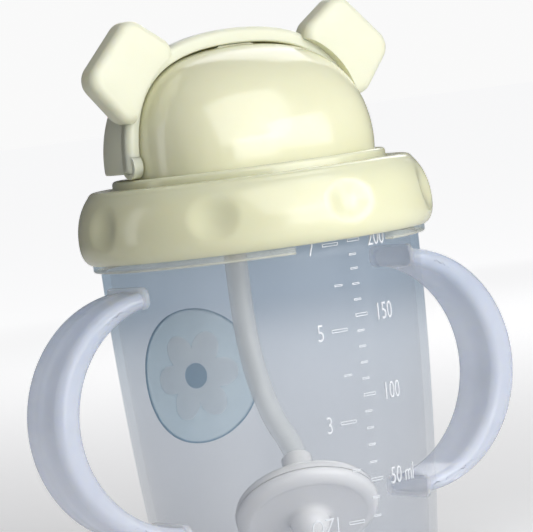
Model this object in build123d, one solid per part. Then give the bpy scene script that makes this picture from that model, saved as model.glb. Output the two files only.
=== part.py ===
from build123d import *
import math
import os

# A straw cup for a small child: bottle, two loop handles, screw collar, eared hood and
# a weighted silicone straw.  Millimetres, +Z up.  The origin is at the middle of the
# bottle's underside.  The handles lie along X, the measuring scale faces -Y, and the
# hood and the badge face +Y.

# ---------------------------------------------------------------- driving dimensions
ring_top_z = 90.0            # top of the lid's step ring
slip = 0.2                   # clearance between pieces that are put together by hand
cut_reach = 60.0             # half the size of the blocks that trim the dome and hood

# bottle
shoulder_r = 33.67           # outer radius 20 mm below the ring top
taper = 0.0193               # radius lost per mm of height
taper_curve = 0.0007         # extra radius lost per mm squared
wall = 1.8
floor_thickness = 3.0
base_corner = 6.5
punt_r = 20.0                # shallow hollow in the underside
punt_depth = 1.0
punt_slope = 3.0             # the hollow's side runs in by this much
flange_r = 35.2
flange_low_z = 71.4
flange_high_z = 72.9
flange_edge_r = 0.5
flange_sink = 0.5            # how far the flange runs into the wall
panel_half_angle = 20.0      # the flange stops either side of the measuring scale
neck_r = 32.6
neck_bore_r = 31.0
neck_top_z = 84.2

# screw thread
thread_lead = 4.0
thread_turns = 1.0
neck_thread_r = 33.9
neck_thread_z = 76.6
collar_thread_r = 33.05
collar_thread_drop = 1.5     # the collar's ridge runs this far below the neck's ridge
ridge_root = 1.3
ridge_tip = 0.7
ridge_sink = 0.2             # how far a ridge runs into its wall

# collar
collar_low_z = 73.1
collar_high_z = 88.25
collar_hole_r = 29.35
collar_bulge_r = 37.8
collar_bulge_z = 78.5
collar_bottom_r = 36.5
collar_shoulder_r = 34.4
collar_shoulder_z = 87.3
collar_skirt_r = 34.3        # inside the skirt
collar_roof = 1.4
dimple_count = 8
dimple_r = 12.0
dimple_depth = 1.3
dimple_z = 82.8
dimple_surface_r = 36.9

# lid plate
lid_flange_r = 32.8
lid_flange_low_z = 85.5
lid_flange_high_z = 86.75
step_ring_r = 29.0
step_ring_bore_r = 27.2
well_floor_z = 86.0
well_floor_thickness = 1.6
plug_r = 30.6
plug_bore_r = 29.2
plug_low_z = 82.5
gasket_bore_r = 30.75

# turning hood and fixed dome: both are turned about the pivot axis, which runs along X
pivot_z = ring_top_z + 2.8
hood_half_length = 29.6
hood_r = 26.1
hood_fullness = 0.676        # 0.552 would be a plain ellipse
hood_wall = 1.7
hood_low_z = ring_top_z + 1.4
rim_front_y = -1.8
rim_back_y = 1.2
rim_half_length = 26.85      # inside the rim
rim_r = 22.9
dome_half_length = 26.6
dome_r = 22.4
dome_fullness = 0.709
dome_wall = 1.6
dome_front_y = 2.4
axle_r = 1.5
axle_end_x = 28.7
axle_gap = 0.06
knuckle_r = 2.6
knuckle_in_x = 26.9
detent_half_width = 4.5
detent_height = 0.35
detent_span = (-1.2, 0.6)    # along Y, under the hood's rim
knuckle_end_gap = 0.6        # from the knuckle's end to the hood's outside
axle_end_gap = 0.2
bore_start_x = 20.0          # the axle's bore is cut from here outwards
rim_edge_r = 1.3

# ears: a four sided pillow, corners given from the pivot axis (x outwards, z up)
ear_top = (26.3, 31.1)
ear_outer = (38.2, 18.7)
ear_bottom = (28.3, 6.6)
ear_inner = (14.8, 23.0)
ear_corner_r = 3.9
ear_edge_r = 1.9
ear_front_y = -4.2
ear_back_y = 2.6
ear_overlap = 1.0            # how far the ear's front runs in over the rim

# handles
handle_mid_z = 41.2
handle_outer_r = 26.5
handle_outer_x = 31.2
handle_inner_r = 23.3
handle_inner_x = 28.2
handle_width = 14.6
handle_root_x = 30.0         # the band starts inside the wall
handle_edge_r = 1.55
pad_height = 4.7
pad_width = 15.6
pad_high_z = 66.0
pad_low_z = 16.2
pad_reach = 35.2
pad_depth = 10.0             # pad before it is cut back to the wall
pad_corner_r = 1.8

# badge
badge_r = 14.8
badge_z = 44.9
badge_thickness = 0.35

# straw
straw_y = 10.0               # the straw's hole in the lid plate
straw_pivot_z = 89.8         # where the mouthpiece folds
fold_angle = 62.0            # lean towards -Y when the hood is closed
stem_length = 22.0
stem_r = 3.6
stem_tip_r = 3.1
stem_bore_r = 1.7
lip_r = 0.7                  # rounded bead at the stem's tip
lip_drop = 0.6               # from the tip to the bead's middle
knuckle_ball_r = 4.4
socket_gap = 0.2
base_flange_r = 8.0
base_flange_thickness = 1.2
cup_top_z = 87.8             # rim of the cup that holds the mouthpiece's ball
base_hole_r = 5.6
cup_wall = 1.3
lower_lip = 0.9              # the seat grips the lid plate from below by this much
lower_lip_thickness = 1.2
socket_low_z = 75.4
socket_r = 4.6
tube_r = 2.45
tube_bore_r = 1.55
tube_fit = 0.05              # gap round the tube in the weight's neck
tube_pivot_z = 75.0          # the tube bends from here; its top is a ball in the socket
tube_ball_r = 3.2
connector_r = 1.9
connector_bore_r = 1.3
connector_low_z = 78.9
connector_high_z = 84.0

# weight at the tube's end; its axis leans so that its underside faces -Y and -X
weight_centre = Vector(-2.8, -10.0, 17.2)
weight_axis = Vector(0.281, 0.582, 0.766).normalized()
weight_r = 15.2
weight_face_r = 12.9         # where the rounded rim meets the faces
weight_face_top = 2.9
weight_face_low = -2.5
nub_r = 3.3
nub_top = 13.0
nub_foot = 7.8
tube_seat = 9.0              # the tube goes down to here inside the neck
boss_r = 4.2
boss_centre = -3.6           # middle of the boss's rounded end
passage_r = 1.3
chamber_r = 5.9
chamber_top = 3.4
inlet_r = 1.1
inlet_ring_r = 4.6
inlet_count = 4
ring_cell_r = 12.4
ring_cell_bore_r = 7.0
ring_cell_top = 1.7
ring_cell_low = -1.2
tube_bends = [(0.0, 10.0, 51.0), (0.16, 4.5, 36.5)]

# vent in the lid plate
valve_y = -9.0
valve_stem_r = 2.0
valve_cap_r = 4.6
valve_bill = 5.0
valve_tip_r = 1.2
valve_root_r = 3.2
valve_cap_thickness = 1.0
valve_slit = (1.8, 0.3)      # width and gap


# ---------------------------------------------------------------- small helpers
def radius_at(z):
    """Outer radius of the bottle's wall at a height."""
    depth = ring_top_z - 20.0 - z
    return shoulder_r - taper * depth - taper_curve * depth * depth


def polar(radius, angle_deg):
    """A point at an angle about Z."""
    angle = math.radians(angle_deg)
    return (radius * math.cos(angle), radius * math.sin(angle))


def turned(*edges):
    """Close a chain of edges drawn in the XZ plane and turn it about Z."""
    return revolve(make_face(Wire(edges)), Axis.Z)


def turned_polygon(points):
    """Turn a polygon, given as (radius, z), about Z."""
    outline = Polyline(*[(r, 0, z) for r, z in points], close=True)
    return revolve(make_face(outline), Axis.Z)


def cylinder_between(radius, low_z, high_z, x=0.0, y=0.0):
    """An upright cylinder between two heights."""
    middle = (low_z + high_z) / 2
    return Pos(x, y, middle) * Cylinder(radius, high_z - low_z)


def slab(x_range, y_range, z_range):
    """A box given by its ranges."""
    size = [high - low for low, high in (x_range, y_range, z_range)]
    middle = [(high + low) / 2 for low, high in (x_range, y_range, z_range)]
    return Pos(*middle) * Box(*size)


def arch_curve(half_length, height, fullness):
    """Upper half of a full ellipse in the XZ plane, in two curves from +X round to -X."""
    top = (0, 0, pivot_z + height)
    halves = []
    for side in (1, -1):
        foot = (side * half_length, 0, pivot_z)
        above_foot = (side * half_length, 0, pivot_z + fullness * height)
        beside_top = (side * fullness * half_length, 0, pivot_z + height)
        halves.append((foot, above_foot, beside_top, top))
    return [Bezier(*halves[0]), Bezier(*reversed(halves[1]))]


def turned_arch(half_length, height, fullness):
    """The arch turned about the pivot axis."""
    curves = arch_curve(half_length, height, fullness)
    closing = Line(curves[1] @ 1, curves[0] @ 0)
    return revolve(make_face(Wire(curves + [closing])), Axis((0, 0, pivot_z), (1, 0, 0)))


def arch_prism(half_length, height, fullness, low_z, y_range):
    """The arch with straight feet down to a height, pushed out along Y."""
    curves = arch_curve(half_length, height, fullness)
    right = Line((half_length, 0, low_z), curves[0] @ 0)
    left = Line(curves[1] @ 1, (-half_length, 0, low_z))
    foot = Line((-half_length, 0, low_z), (half_length, 0, low_z))
    face = make_face(Wire([right] + curves + [left, foot]))
    return Pos(0, y_range[0], 0) * extrude(face, y_range[1] - y_range[0], dir=(0, 1, 0))


def thread_ridge(root_r, tip_r, start_z):
    """One helical ridge with a sloped section."""
    path = Pos(0, 0, start_z) * Helix(thread_lead, thread_lead * thread_turns, root_r)
    section = Polyline(
        (root_r, 0, start_z - ridge_root / 2),
        (tip_r, 0, start_z - ridge_tip / 2),
        (tip_r, 0, start_z + ridge_tip / 2),
        (root_r, 0, start_z + ridge_root / 2),
        close=True,
    )
    return sweep(make_face(section), path=path, is_frenet=True)


# ---------------------------------------------------------------- bottle
def bottle_outline(inset, low_z):
    """Wall curve from the base corner up to the flange, moved inwards by the inset."""
    heights = [low_z + (flange_low_z - low_z) * i / 8 for i in range(9)]
    return [(radius_at(z) - inset, 0, z) for z in heights]


def bottle_body(inset, low_z, corner, top_r, top_z):
    """Solid of revolution with the bottle's wall curve and a rounded lower corner."""
    curve = Spline(*bottle_outline(inset, low_z + corner))
    start = curve @ 0
    base = (start.X - corner, 0, low_z)
    round_corner = TangentArc((start.X, 0, start.Z), base, tangent=-(curve % 0))
    edges = [
        Line((0, 0, low_z), base),
        round_corner,
        curve,
        Line(curve @ 1, (top_r, 0, flange_high_z)),
        Line((top_r, 0, flange_high_z), (top_r, 0, top_z)),
        Line((top_r, 0, top_z), (0, 0, top_z)),
        Line((0, 0, top_z), (0, 0, low_z)),
    ]
    return turned(*edges)


def flange():
    """Ring under the collar, left out across the measuring scale."""
    inner = radius_at(flange_low_z) - flange_sink
    ring = cylinder_between(flange_r, flange_low_z, flange_high_z)
    ring = fillet(ring.edges().group_by(Axis.Z)[0], flange_edge_r)
    ring -= cylinder_between(inner, flange_low_z, flange_high_z)
    reach = 2 * flange_r
    left = polar(reach, -90 - panel_half_angle)
    right = polar(reach, -90 + panel_half_angle)
    wedge = extrude(make_face(Polyline((0, 0), left, right, close=True)), ring_top_z)
    return ring - wedge


def make_bottle():
    outer = bottle_body(0.0, 0.0, base_corner, neck_r, neck_top_z)
    inner = bottle_body(wall, floor_thickness, base_corner - wall, neck_bore_r, neck_top_z)
    body = outer + flange()
    body += thread_ridge(neck_r - ridge_sink, neck_thread_r, neck_thread_z)
    body -= inner
    punt = Cone(punt_r, punt_r - punt_slope, punt_depth)
    return body - Pos(0, 0, punt_depth / 2) * punt


def make_badge(bottle_solid_outer):
    proud = bottle_body(-badge_thickness, 0.0, base_corner, neck_r, neck_top_z)
    disc = Pos(0, 20, badge_z) * Rot(90, 0, 0) * Cylinder(badge_r, 40)
    return (proud - bottle_solid_outer) & disc


# ---------------------------------------------------------------- handles
def make_handle(side, bottle_solid_outer):
    """Crescent loop in the XZ plane with a pad at each end; side is 1 or -1."""
    turn = Rot(90, 0, 0)
    outer = Pos(handle_outer_x, 0, handle_mid_z) * turn * Cylinder(handle_outer_r, handle_width)
    inner = Pos(handle_inner_x, 0, handle_mid_z) * turn * Cylinder(handle_inner_r, handle_width)
    band = outer - inner
    band &= slab((handle_root_x, 2 * cut_reach), (-handle_width, handle_width), (0, ring_top_z))
    long_edges = band.edges().filter_by(GeomType.CIRCLE)
    band = fillet(long_edges, handle_edge_r)
    pads = []
    for middle in (pad_high_z, pad_low_z):
        pad = Pos(pad_reach - pad_depth / 2, 0, middle) * Box(pad_depth, pad_width, pad_height)
        pads.append(fillet(pad.edges().filter_by(Axis.X), pad_corner_r))
    loop = band + pads - bottle_solid_outer
    loop = loop.solids().sort_by(SortBy.VOLUME)[-1]
    return loop if side > 0 else mirror(loop, Plane.YZ)


# ---------------------------------------------------------------- collar
def make_collar():
    top = Line((collar_hole_r, 0, collar_high_z), (collar_shoulder_r - 1.6, 0, collar_high_z))
    shoulder = ThreePointArc(
        top @ 1,
        (collar_shoulder_r - 0.5, 0, collar_high_z - 0.28),
        (collar_shoulder_r, 0, collar_shoulder_z),
    )
    bulge = ThreePointArc(
        shoulder @ 1,
        (collar_bulge_r, 0, collar_bulge_z),
        (collar_bottom_r, 0, collar_low_z),
    )
    roof_z = collar_high_z - collar_roof
    inside = Polyline(
        bulge @ 1,
        (collar_skirt_r, 0, collar_low_z),
        (collar_skirt_r, 0, roof_z - 1.0),
        (collar_skirt_r - 1.0, 0, roof_z),
        (collar_hole_r, 0, roof_z),
        top @ 0,
    )
    body = revolve(make_face(Wire([top, shoulder, bulge] + inside.edges())), Axis.Z)
    scoop_distance = dimple_surface_r - dimple_depth + dimple_r
    for i in range(dimple_count):
        x, y = polar(scoop_distance, 360 * i / dimple_count)
        body -= Pos(x, y, dimple_z) * Sphere(dimple_r)
    ridge_z = neck_thread_z - collar_thread_drop
    return body + thread_ridge(collar_skirt_r + ridge_sink, collar_thread_r, ridge_z)


# ---------------------------------------------------------------- lid plate
def make_lid_base():
    floor_low = well_floor_z - well_floor_thickness
    body = turned_polygon([
        (0, floor_low),
        (plug_bore_r, floor_low),
        (plug_bore_r, plug_low_z),
        (plug_r - 0.4, plug_low_z),
        (plug_r, plug_low_z + 0.6),
        (plug_r, lid_flange_low_z),
        (lid_flange_r, lid_flange_low_z),
        (lid_flange_r, lid_flange_high_z),
        (step_ring_r, lid_flange_high_z),
        (step_ring_r, ring_top_z - 0.5),
        (step_ring_r - 0.5, ring_top_z),
        (step_ring_bore_r, ring_top_z),
        (step_ring_bore_r, well_floor_z),
        (0, well_floor_z),
    ])
    body -= cylinder_between(base_hole_r, floor_low, well_floor_z, y=straw_y)
    return body - cylinder_between(valve_stem_r + 0.05, floor_low, well_floor_z, y=valve_y)


def make_gasket():
    ring = cylinder_between(neck_r - 0.1, neck_top_z, lid_flange_low_z)
    return ring - cylinder_between(gasket_bore_r, neck_top_z, lid_flange_low_z)


def make_air_valve():
    floor_low = well_floor_z - well_floor_thickness
    body = cylinder_between(valve_stem_r, floor_low, well_floor_z, y=valve_y)
    body += cylinder_between(valve_cap_r, well_floor_z, well_floor_z + valve_cap_thickness, y=valve_y)
    bill = Pos(0, valve_y, floor_low - valve_bill / 2) * Cone(valve_tip_r, valve_root_r, valve_bill)
    body += bill
    width, gap = valve_slit
    slit = slab((-width / 2, width / 2), (valve_y - gap / 2, valve_y + gap / 2),
                (floor_low - valve_bill - 1, floor_low - 1))
    well = cylinder_between(valve_tip_r, floor_low - 3, well_floor_z + 2, y=valve_y)
    return body - slit - well


# ---------------------------------------------------------------- dome, hood and ears
def make_dome():
    outer = turned_arch(dome_half_length, dome_r, dome_fullness)
    inner = turned_arch(dome_half_length - dome_wall, dome_r - dome_wall, dome_fullness)
    keep = slab((-cut_reach, cut_reach), (-cut_reach, dome_front_y), (ring_top_z, 3 * cut_reach))
    body = (outer - inner) & keep
    axle_length = axle_end_x - (dome_half_length - dome_wall / 2)
    for side in (-1, 1):
        middle = side * (axle_end_x - axle_length / 2)
        body += Pos(middle, 0, pivot_z) * Rot(0, 90, 0) * Cylinder(axle_r, axle_length)
    lug = turned_arch(dome_half_length, dome_r + detent_height, dome_fullness)
    lug &= slab((-detent_half_width, detent_half_width), detent_span, (pivot_z + dome_r - 1, 3 * cut_reach))
    return body + (lug - inner)


def make_hood():
    outer = turned_arch(hood_half_length, hood_r, hood_fullness)
    inner = turned_arch(hood_half_length - hood_wall, hood_r - hood_wall, hood_fullness)
    shell = (outer - inner) & slab((-cut_reach, cut_reach), (0, cut_reach), (hood_low_z, 3 * cut_reach))
    span = (rim_front_y, rim_back_y)
    rim = arch_prism(hood_half_length, hood_r, hood_fullness, hood_low_z, span)
    front = rim.edges().group_by(Axis.Y)[0]
    outer_front = [e for e in front if e.geom_type != GeomType.LINE or abs(e.center().X) > 1]
    rim = fillet(outer_front, rim_edge_r)
    rim -= arch_prism(rim_half_length, rim_r, dome_fullness, hood_low_z - 1, (-5, 5))
    body = shell + rim
    for side in (-1, 1):
        length = hood_half_length - knuckle_end_gap - knuckle_in_x
        place = Pos(side * (knuckle_in_x + length / 2), 0, pivot_z) * Rot(0, 90, 0)
        body += place * Cylinder(knuckle_r, length)
        bore_end = axle_end_x + axle_end_gap
        bore_length = bore_end - bore_start_x
        hole = Pos(side * (bore_end - bore_length / 2), 0, pivot_z) * Rot(0, 90, 0)
        body -= hole * Cylinder(axle_r + axle_gap, bore_length)
    return body


def make_ear(side, hood_solid):
    corners = [(x, 0, pivot_z + z) for x, z in (ear_top, ear_outer, ear_bottom, ear_inner)]
    face = make_face(Polyline(*corners, close=True))
    pillow = Pos(0, ear_front_y, 0) * extrude(face, ear_back_y - ear_front_y, dir=(0, 1, 0))
    pillow = fillet(pillow.edges().filter_by(Axis.Y), ear_corner_r)
    rims = pillow.edges().group_by(Axis.Y)
    pillow = fillet(rims[0] + rims[-1], ear_edge_r)
    core = arch_prism(hood_half_length - ear_overlap, hood_r - ear_overlap, hood_fullness,
                      hood_low_z, (-10, 10))
    filled = turned_arch(hood_half_length, hood_r, hood_fullness)
    filled &= slab((-cut_reach, cut_reach), (0, cut_reach), (hood_low_z, 3 * cut_reach))
    pillow = pillow - core - filled - hood_solid
    pillow = pillow.solids().sort_by(SortBy.VOLUME)[-1]
    return pillow if side > 0 else mirror(pillow, Plane.YZ)


# ---------------------------------------------------------------- straw
def make_stem():
    """Straw mouth, folded back under the hood, with a ball at its foot."""
    tip_z = stem_length
    stem = Pos(0, 0, tip_z / 2) * Cone(stem_r, stem_tip_r, tip_z)
    lip = Pos(0, 0, tip_z - lip_drop) * Torus(stem_tip_r - 0.2, lip_r)
    body = stem + lip + Sphere(knuckle_ball_r)
    body -= Pos(0, 0, tip_z / 2) * Cylinder(stem_bore_r, tip_z * 2)
    return Pos(0, straw_y, straw_pivot_z) * Rot(fold_angle, 0, 0) * body


def make_mouthpiece_base():
    floor_low = well_floor_z - well_floor_thickness
    flange_top = well_floor_z + base_flange_thickness
    body = cylinder_between(base_flange_r, well_floor_z, flange_top, y=straw_y)
    body += cylinder_between(knuckle_ball_r + cup_wall, flange_top, cup_top_z, y=straw_y)
    body += cylinder_between(base_hole_r, floor_low, well_floor_z, y=straw_y)
    body += cylinder_between(base_hole_r + lower_lip, floor_low - lower_lip_thickness, floor_low, y=straw_y)
    body += cylinder_between(socket_r, socket_low_z, floor_low - lower_lip_thickness, y=straw_y)
    body -= Pos(0, straw_y, straw_pivot_z) * Sphere(knuckle_ball_r + socket_gap)
    body -= cylinder_between(stem_bore_r, socket_low_z, straw_pivot_z, y=straw_y)
    body -= Pos(0, straw_y, tube_pivot_z) * Sphere(tube_ball_r + socket_gap)
    return body - cylinder_between(connector_r, connector_low_z, connector_high_z, y=straw_y)


def make_connector():
    """Rigid sleeve that keeps the soft socket round."""
    body = cylinder_between(connector_r, connector_low_z, connector_high_z, y=straw_y)
    return body - cylinder_between(connector_bore_r, connector_low_z, connector_high_z, y=straw_y)


def tube_route():
    """Corner points of the tube, from the socket down into the weight's neck."""
    neck_mouth = weight_centre + weight_axis * nub_top
    before_neck = neck_mouth + weight_axis * 3.0
    seat = weight_centre + weight_axis * tube_seat
    ends = [tuple(before_neck), tuple(seat)]
    return [(0.0, straw_y, tube_pivot_z)] + tube_bends + ends


def bend_radii(points):
    """The largest arc that each corner leaves room for."""
    radii = []
    for before, corner, after in zip(points, points[1:], points[2:]):
        first = Vector(*corner) - Vector(*before)
        second = Vector(*after) - Vector(*corner)
        half_turn = math.radians(first.get_angle(second) / 2)
        shorter = min(first.length, second.length)
        radii.append(0.45 * shorter / math.tan(half_turn))
    return radii


def make_straw_tube():
    points = tube_route()
    path = FilletPolyline(*points, radius=bend_radii(points))
    start = Plane(origin=points[0], z_dir=(0, 0, -1))
    body = sweep(start * Circle(tube_r), path=path)
    body += Pos(0, straw_y, tube_pivot_z) * Sphere(tube_ball_r)
    body -= sweep(start * Circle(tube_bore_r), path=path)
    return body - cylinder_between(tube_bore_r, tube_pivot_z, tube_pivot_z + 5, y=straw_y)


# ---------------------------------------------------------------- weight
def on_weight(body):
    """Move a body from the weight's own axes to its place."""
    return Plane(origin=weight_centre, z_dir=weight_axis).location * body


def bow(start, corner, end):
    """A smooth curve that leaves and arrives along the lines to the corner, (r, z) each."""
    return Bezier(*[(r, 0, z) for r, z in (start, corner, end)])


def make_weight_upper():
    face = (weight_face_r, weight_face_top)
    shoulder = (5.4, 6.1)
    neck = (nub_r, nub_foot)
    lip = (nub_r, nub_top - 0.7)
    mouth = (nub_r - 0.6, nub_top)
    outline = [
        Line((0, 0, 0), (weight_r, 0, 0)),
        bow((weight_r, 0), (weight_r, 2.3), face),
        bow(face, (9.0, 5.5), shoulder),
        bow(shoulder, (nub_r, 6.4), neck),
        Line((nub_r, 0, nub_foot), (nub_r, 0, nub_top - 0.7)),
        bow(lip, (nub_r, nub_top), mouth),
        Line((nub_r - 0.6, 0, nub_top), (0, 0, nub_top)),
        Line((0, 0, nub_top), (0, 0, 0)),
    ]
    body = turned(*outline)
    body -= cylinder_between(tube_r + tube_fit, tube_seat - tube_fit, nub_top)
    body -= cylinder_between(passage_r, 0, tube_seat)
    body -= cylinder_between(chamber_r, 0, chamber_top)
    cell = cylinder_between(ring_cell_r, 0, ring_cell_top)
    body -= cell - cylinder_between(ring_cell_bore_r, 0, ring_cell_top)
    return on_weight(body)


def make_weight_lower():
    face = (weight_face_r, weight_face_low)
    foot = (boss_r + 1.4, weight_face_low + 0.3)
    outline = [
        Line((0, 0, 0), (weight_r, 0, 0)),
        bow((weight_r, 0), (weight_r, -2.1), face),
        Line((weight_face_r, 0, face[1]), (foot[0], 0, foot[1])),
        bow(foot, (boss_r, foot[1]), (boss_r, boss_centre)),
        ThreePointArc(
            (boss_r, 0, boss_centre),
            (boss_r * math.sin(math.pi / 4), 0, boss_centre - boss_r * math.cos(math.pi / 4)),
            (0, 0, boss_centre - boss_r),
        ),
        Line((0, 0, boss_centre - boss_r), (0, 0, 0)),
    ]
    body = turned(*outline)
    body -= cylinder_between(chamber_r, ring_cell_low, 0)
    cell = cylinder_between(ring_cell_r, ring_cell_low, 0)
    body -= cell - cylinder_between(ring_cell_bore_r, ring_cell_low, 0)
    for i in range(inlet_count):
        x, y = polar(inlet_ring_r, 45 + 360 * i / inlet_count)
        body -= cylinder_between(inlet_r, boss_centre - boss_r, 0, x=x, y=y)
    return on_weight(body)


def make_weight_ring():
    ring = cylinder_between(ring_cell_r - slip, ring_cell_low, ring_cell_top)
    return on_weight(ring - cylinder_between(ring_cell_bore_r + slip, ring_cell_low, ring_cell_top))


# ---------------------------------------------------------------- all nodes
def build_all():
    wall_solid = bottle_body(0.0, 0.0, base_corner, neck_r, neck_top_z)
    hood = make_hood()
    return {
        "bottle": make_bottle(),
        "handle_left": make_handle(-1, wall_solid),
        "handle_right": make_handle(1, wall_solid),
        "front_badge": make_badge(wall_solid),
        "screw_collar": make_collar(),
        "lid_base": make_lid_base(),
        "lid_gasket": make_gasket(),
        "air_valve": make_air_valve(),
        "rear_dome": make_dome(),
        "hood": hood,
        "ear_left": make_ear(-1, hood),
        "ear_right": make_ear(1, hood),
        "mouthpiece_stem": make_stem(),
        "mouthpiece_base": make_mouthpiece_base(),
        "straw_connector": make_connector(),
        "straw_tube": make_straw_tube(),
        "weight_upper_shell": make_weight_upper(),
        "weight_lower_shell": make_weight_lower(),
        "weight_ring": make_weight_ring(),
    }


os.makedirs("parts", exist_ok=True)
for name, piece in build_all().items():
    export_step(piece, f"parts/{name}.step")
print("tube bend radii:", [round(r, 1) for r in bend_radii(tube_route())])
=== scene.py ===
import math

import bmesh
import bpy
from mathutils import Matrix, Vector


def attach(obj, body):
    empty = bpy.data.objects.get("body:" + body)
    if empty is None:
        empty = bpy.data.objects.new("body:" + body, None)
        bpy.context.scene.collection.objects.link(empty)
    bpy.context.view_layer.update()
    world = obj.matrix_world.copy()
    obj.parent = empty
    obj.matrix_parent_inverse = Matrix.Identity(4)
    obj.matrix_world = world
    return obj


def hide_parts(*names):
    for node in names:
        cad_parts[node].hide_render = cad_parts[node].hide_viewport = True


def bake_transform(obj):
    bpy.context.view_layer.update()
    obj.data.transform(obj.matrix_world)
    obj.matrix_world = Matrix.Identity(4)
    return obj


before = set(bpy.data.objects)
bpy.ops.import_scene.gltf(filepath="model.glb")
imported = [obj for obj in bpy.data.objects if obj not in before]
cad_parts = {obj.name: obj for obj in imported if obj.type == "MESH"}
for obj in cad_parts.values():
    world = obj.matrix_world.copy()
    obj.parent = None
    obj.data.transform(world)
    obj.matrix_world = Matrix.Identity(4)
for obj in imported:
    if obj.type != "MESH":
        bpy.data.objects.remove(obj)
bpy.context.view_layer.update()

# Looks of a straw cup: clear bottle, milky handles, cream collar, dome and eared hood.
# Shapes are worked out in millimetres from the same dimensions as the CAD model and
# turned into metres in build().  +Z is up, the scale faces -Y, the handles lie along X.

MM = 0.001
RING_TOP_Z = 90.0                # top of the step ring round the dome
PIVOT_Z = RING_TOP_Z + 2.8       # the hood turns about this height
MARK_BASE_Z = RING_TOP_Z - 20.0  # the 190 ml mark, from which the wall's shape is counted
PLATE_LOW, PLATE_TOP = 84.4, 86.0
DOME_HALF, DOME_TALL, DOME_FULL = 26.6, 22.4, 0.709      # arches, counted from the pivot
HOOD_HALF, HOOD_TALL, HOOD_FULL = 29.6, 26.1, 0.676


# ---------------------------------------------------------------- meshes
def build(name, points, faces, material, sharp_deg=38.0):
    """One smooth shaded object from points in millimetres."""
    mesh = bpy.data.meshes.new(name)
    mesh.from_pydata([Vector(p) * MM for p in points], [], faces)
    mesh.validate()
    mesh.materials.append(material)
    item = bpy.data.objects.new(name, mesh)
    bpy.context.scene.collection.objects.link(item)
    tidy(item, sharp_deg)
    return item


def tidy(item, sharp_deg):
    """Merge doubled points, turn the faces outwards and shade by angle."""
    work = bmesh.new()
    work.from_mesh(item.data)
    bmesh.ops.remove_doubles(work, verts=work.verts, dist=1e-6)
    bmesh.ops.dissolve_degenerate(work, edges=work.edges, dist=1e-7)
    bmesh.ops.recalc_face_normals(work, faces=work.faces)
    work.to_mesh(item.data)
    work.free()
    item.data.shade_smooth()
    item.data.set_sharp_from_angle(angle=math.radians(sharp_deg))


def loft(rings, wrap_ring=True, wrap_rings=False, cap=False, cap_last=False):
    """Points and faces of a skin over rings that all have the same number of points."""
    count = len(rings[0])
    points = [p for ring in rings for p in ring]
    faces = []
    for i in range(len(rings) if wrap_rings else len(rings) - 1):
        low = i * count
        high = ((i + 1) % len(rings)) * count
        for j in range(count if wrap_ring else count - 1):
            k = (j + 1) % count
            faces.append((low + j, low + k, high + k, high + j))
    if cap:
        faces.append(tuple(range(count)))
    if cap or cap_last:
        faces.append(tuple((len(rings) - 1) * count + j for j in reversed(range(count))))
    return points, faces


def join(*shapes):
    """Several (points, faces) as one."""
    points = []
    faces = []
    for some_points, some_faces in shapes:
        start = len(points)
        points += some_points
        faces += [tuple(start + i for i in face) for face in some_faces]
    return points, faces


def rounded(corners, steps=6):
    """A closed outline through corners (a, b, radius), with an arc at each rounded one."""
    outline = []
    for i, (a, b, radius) in enumerate(corners):
        here = Vector((a, b))
        back = Vector(corners[i - 1][:2]) - here
        on = Vector(corners[(i + 1) % len(corners)][:2]) - here
        half = back.angle(on) / 2
        if radius <= 0:
            outline.append((a, b))
            continue
        reach = min(radius / math.tan(half), 0.5 * back.length, 0.5 * on.length)
        radius = reach * math.tan(half)
        bisector = (back.normalized() + on.normalized()).normalized()
        centre = here + bisector * (radius / math.sin(half))
        first = here + back.normalized() * reach - centre
        last = here + on.normalized() * reach - centre
        turn = first.angle(last)
        for step in range(steps + 1):
            t = step / steps
            spoke = first * math.sin((1 - t) * turn) + last * math.sin(t * turn)
            spot = centre + spoke / math.sin(turn)
            outline.append((spot.x, spot.y))
    return outline


def bezier(controls, steps):
    """Points along a Bezier curve of any degree."""
    degree = len(controls) - 1
    curve = []
    for step in range(steps + 1):
        t = step / steps
        spot = Vector([0.0] * len(controls[0]))
        for i, control in enumerate(controls):
            spot += Vector(control) * (math.comb(degree, i) * t**i * (1 - t)**(degree - i))
        curve.append(tuple(spot))
    return curve


def turned(outline, segments=160, warp=None, axis=None):
    """A closed (radius, z) outline turned about Z, or about the Z of a matrix, axis.
    warp(radius, angle, z) changes a radius."""
    rings = []
    for i in range(segments):
        angle = 2 * math.pi * i / segments
        ring = []
        for radius, z in outline:
            if warp:
                radius = warp(radius, angle, z)
            spot = Vector((radius * math.cos(angle), radius * math.sin(angle), z))
            ring.append(axis @ spot if axis else spot)
        rings.append(ring)
    return loft(rings, wrap_rings=True)


def ridge_round(section, angles, path):
    """A closed section (radius, z) carried through angles, with closed ends.
    path(radius, angle, z) gives the place of a point."""
    rings = [[path(radius, angle, z) for radius, z in section] for angle in angles]
    return loft(rings, cap=True)


def upright(radius, angle, z):
    """A point at an angle round Z."""
    return (radius * math.cos(angle), radius * math.sin(angle), z)


def spaced(low, high, steps):
    """Numbers from low to high, with both ends."""
    return [low + (high - low) * i / steps for i in range(steps + 1)]


# ---------------------------------------------------------------- materials
CLOUDS_PER_METRE = 55.0
STREAKS_PER_METRE = 420.0
GRAINS_PER_METRE = 1500.0
GRAIN_DEPTH = 0.0002
CLOUD_CONTRAST = 0.06        # how much more or less a clear part holds back in a cloud
SOFT_DEPTH = 0.004           # how far light goes into a soft plastic, in metres


def mixed(nodes, links, factor, first, second):
    """A colour between two, by a factor socket."""
    mix = nodes.new("ShaderNodeMix")
    mix.data_type = "RGBA"
    mix.inputs["A"].default_value = (*first, 1)
    mix.inputs["B"].default_value = (*second, 1)
    links.new(factor, mix.inputs["Factor"])
    return mix.outputs["Result"]


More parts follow.
